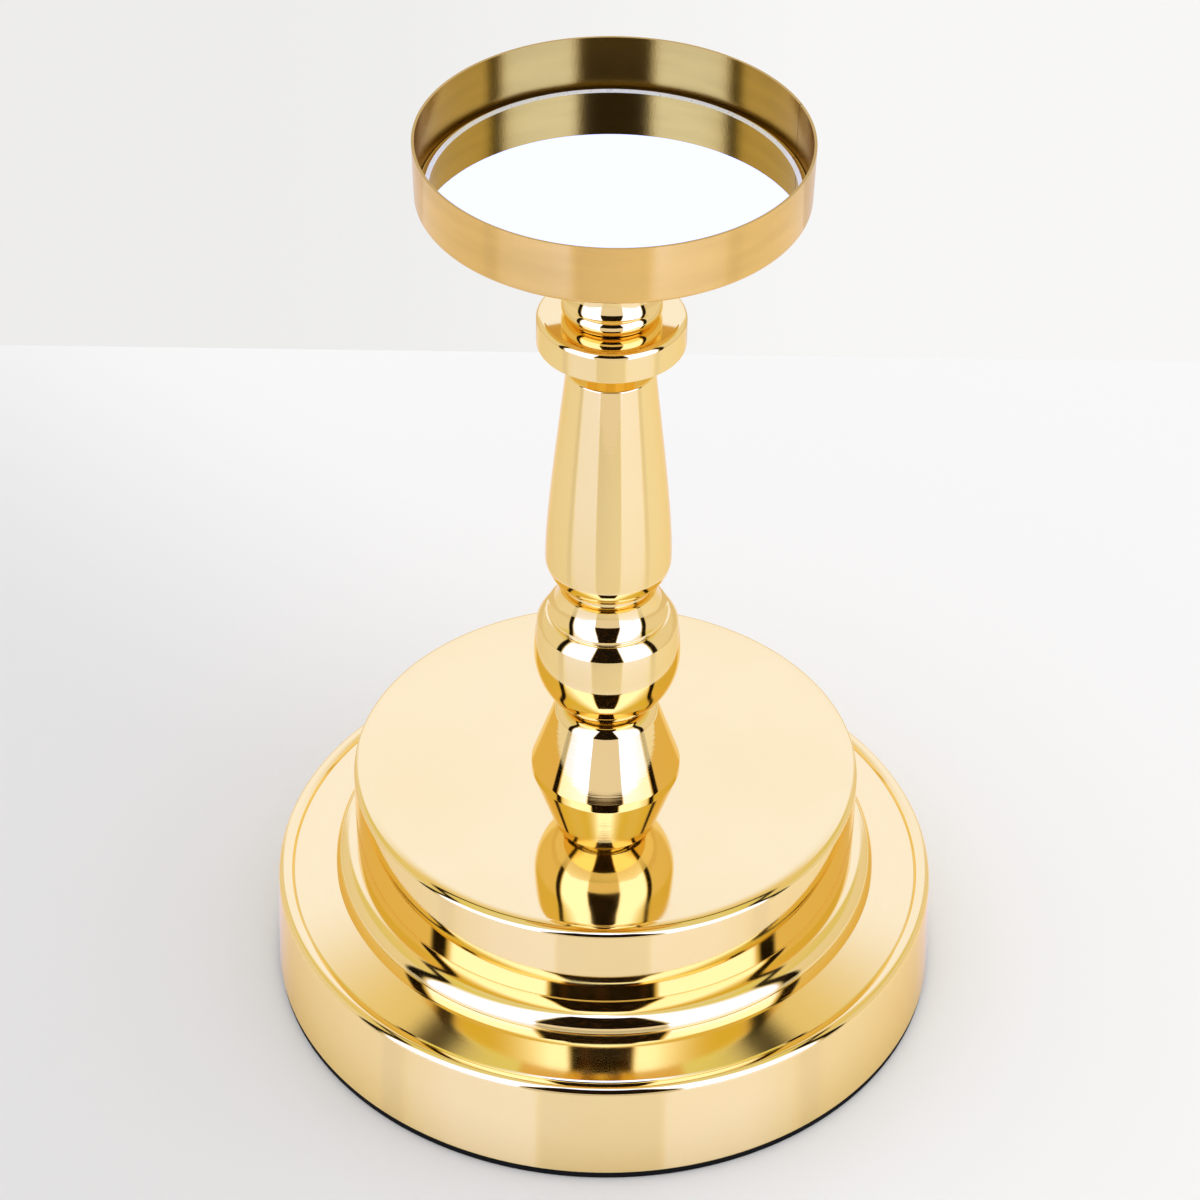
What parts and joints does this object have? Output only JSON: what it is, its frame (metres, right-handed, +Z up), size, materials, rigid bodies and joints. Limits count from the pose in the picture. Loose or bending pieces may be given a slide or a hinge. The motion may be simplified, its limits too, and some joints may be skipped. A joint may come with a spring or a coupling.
{
  "type": "candle stand",
  "caption": "Pillar candle stand: a shallow round tray with a mirror floor, on a turned baluster stem and a stepped round base with a felt underside.",
  "frame": {"origin": "centre of the felt's underside, on the table, under the axis that every piece is turned about", "axes": "+Z up along the stem; the part is turned about Z, so X and Y are free, and the picture looks along +Y"},
  "size_m": [0.188, 0.188, 0.2715],
  "materials": {
    "gold_sheet": "polished gold plate on pressed steel sheet, brushed on the apron",
    "gold_turned": "polished gold plate on turned aluminium, with faint turning lines",
    "gold_cup": "satin gold plate on thin steel sheet",
    "mirror": "silvered glass with a ground edge",
    "adhesive": "foam adhesive ring",
    "felt": "black felt",
    "board": "bare hardboard",
    "zinc": "bright zinc plate"
  },
  "bodies": {
    "root": {"felt_pad": "felt", "base_board": "board", "plinth_shell": "gold_sheet", "drum_shell": "gold_sheet", "clamp_plate": "zinc", "tie_rod": "zinc", "clamp_washer": "zinc", "clamp_lock_washer": "zinc", "clamp_nut": "zinc", "plate_washer": "zinc", "plate_lock_washer": "zinc", "plate_nut": "zinc", "stem_foot": "gold_turned", "lower_ring": "gold_turned", "stem_knop": "gold_turned", "upper_ring": "gold_turned", "baluster": "gold_turned", "collar_disc": "gold_turned", "cup_neck": "gold_turned", "candle_cup": "gold_cup", "cup_screw": "zinc", "mirror_adhesive": "adhesive", "mirror_disc": "mirror"}
  },
  "joints": []
}
